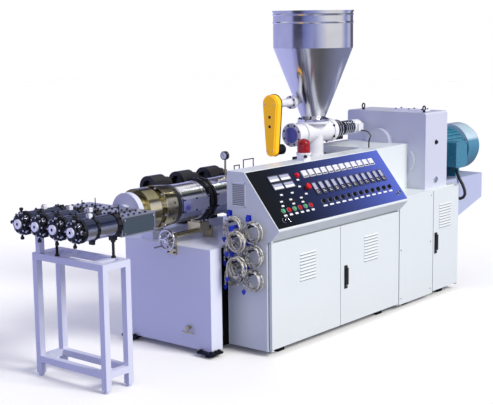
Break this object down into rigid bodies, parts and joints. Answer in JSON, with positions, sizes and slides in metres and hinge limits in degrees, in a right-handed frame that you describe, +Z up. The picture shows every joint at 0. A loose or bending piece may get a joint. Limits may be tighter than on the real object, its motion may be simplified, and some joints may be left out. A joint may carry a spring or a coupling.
{
  "type": "conical twin screw extruder",
  "caption": "Plastic pipe extruder with hopper, feeder, heated barrel, multi-strand die on a stand, sloping control console, hinged cabinet doors, gearbox and drive motor.",
  "frame": {"origin": "on the floor under the middle of the whole machine", "axes": "+X from the die to the drive motor, +Y from the doors to the far side, +Z up"},
  "size_m": [4.95, 1.296, 2.455],
  "materials": {
    "lavender_paint": "semi gloss enamel",
    "pale_paint": "semi gloss powder coat",
    "stand_paint": "semi gloss enamel",
    "dark_steel": "blackened and oiled",
    "black_paint": "satin",
    "black_plastic": "matte",
    "panel_paint": "satin",
    "white_plastic": "gloss",
    "grey_plastic": "matte",
    "green_plastic": "gloss",
    "red_plastic": "gloss",
    "blue_plastic": "matte",
    "teal_paint": "gloss enamel",
    "polished_steel": "polished",
    "brass": "machined",
    "white_paint": "gloss enamel",
    "yellow_paint": "gloss enamel",
    "sight_glass": "clear",
    "bar_steel": "ground",
    "cable_grey": "matte"
  },
  "bodies": {
    "machine": {"base_frame": "lavender_paint", "base_feet": "dark_steel", "gap_strip": "black_paint", "drain_valve": "brass", "control_cabinet": "pale_paint", "console": "pale_paint", "control_panel": "panel_paint", "panel_meters": "white_plastic", "panel_controllers": "grey_plastic", "panel_switches": "black_plastic", "panel_displays": "grey_plastic", "panel_green_buttons": "green_plastic", "panel_red_buttons": "red_plastic", "rear_cabinet": "pale_paint", "drive_cover": "pale_paint", "gearbox": "lavender_paint", "eyebolts": "polished_steel", "motor_body": "teal_paint", "motor_cowl": "teal_paint", "terminal_box": "teal_paint", "motor_plinth": "lavender_paint", "barrel_heaters": "polished_steel", "barrel_clamps": "black_paint", "brass_covers": "brass", "die_disc": "lavender_paint", "barrel_support": "brass", "blowers": "black_paint", "blower_duct": "lavender_paint", "gauge": "brass", "vent_handles": "polished_steel", "feed_block": "dark_steel", "hopper": "polished_steel", "feeder_body": "white_paint", "sight_glass": "sight_glass", "feeder_drive": "bar_steel", "feeder_motor": "white_paint", "held_leads": "black_plastic", "belt_guard": "yellow_paint", "agitator_drive": "dark_steel", "shaft_housing": "white_paint", "beacon_base": "white_plastic", "beacon_dome": "red_plastic", "die_bars": "bar_steel", "die_heaters": "polished_steel", "die_clamps": "black_paint", "die_heads": "dark_steel", "die_bushes": "polished_steel", "die_stand": "stand_paint", "jack_rods": "black_paint", "lead_pegs": "dark_steel", "lead_sockets": "blue_plastic", "lead_coils": "cable_grey", "lead_tails": "cable_grey", "lead_plugs": "blue_plastic"},
    "control_door_left": {"control_door_left": "pale_paint"},
    "control_door_right": {"control_door_right": "pale_paint", "control_handle": "black_plastic"},
    "rear_door": {"rear_door": "pale_paint", "rear_handle": "black_plastic"},
    "handwheel": {"handwheel": "polished_steel"}
  },
  "joints": [
    {"name": "control_door_left_hinge", "type": "hinge", "parent": "machine", "child": "control_door_left", "pos_m": [-1.011, -0.561, 0.44], "axis": [0, 0, -1], "range_deg": [0, 110]},
    {"name": "control_door_right_hinge", "type": "hinge", "parent": "machine", "child": "control_door_right", "pos_m": [0.641, -0.561, 0.44], "axis": [0, 0, 1], "range_deg": [0, 110]},
    {"name": "rear_door_hinge", "type": "hinge", "parent": "machine", "child": "rear_door", "pos_m": [1.616, -0.561, 0.49], "axis": [0, 0, 1], "range_deg": [0, 110]},
    {"name": "handwheel_turn", "type": "hinge", "parent": "machine", "child": "handwheel", "pos_m": [-1.351, 0.128, 0.828], "axis": [1, 0, 0], "continuous": true}
  ]
}
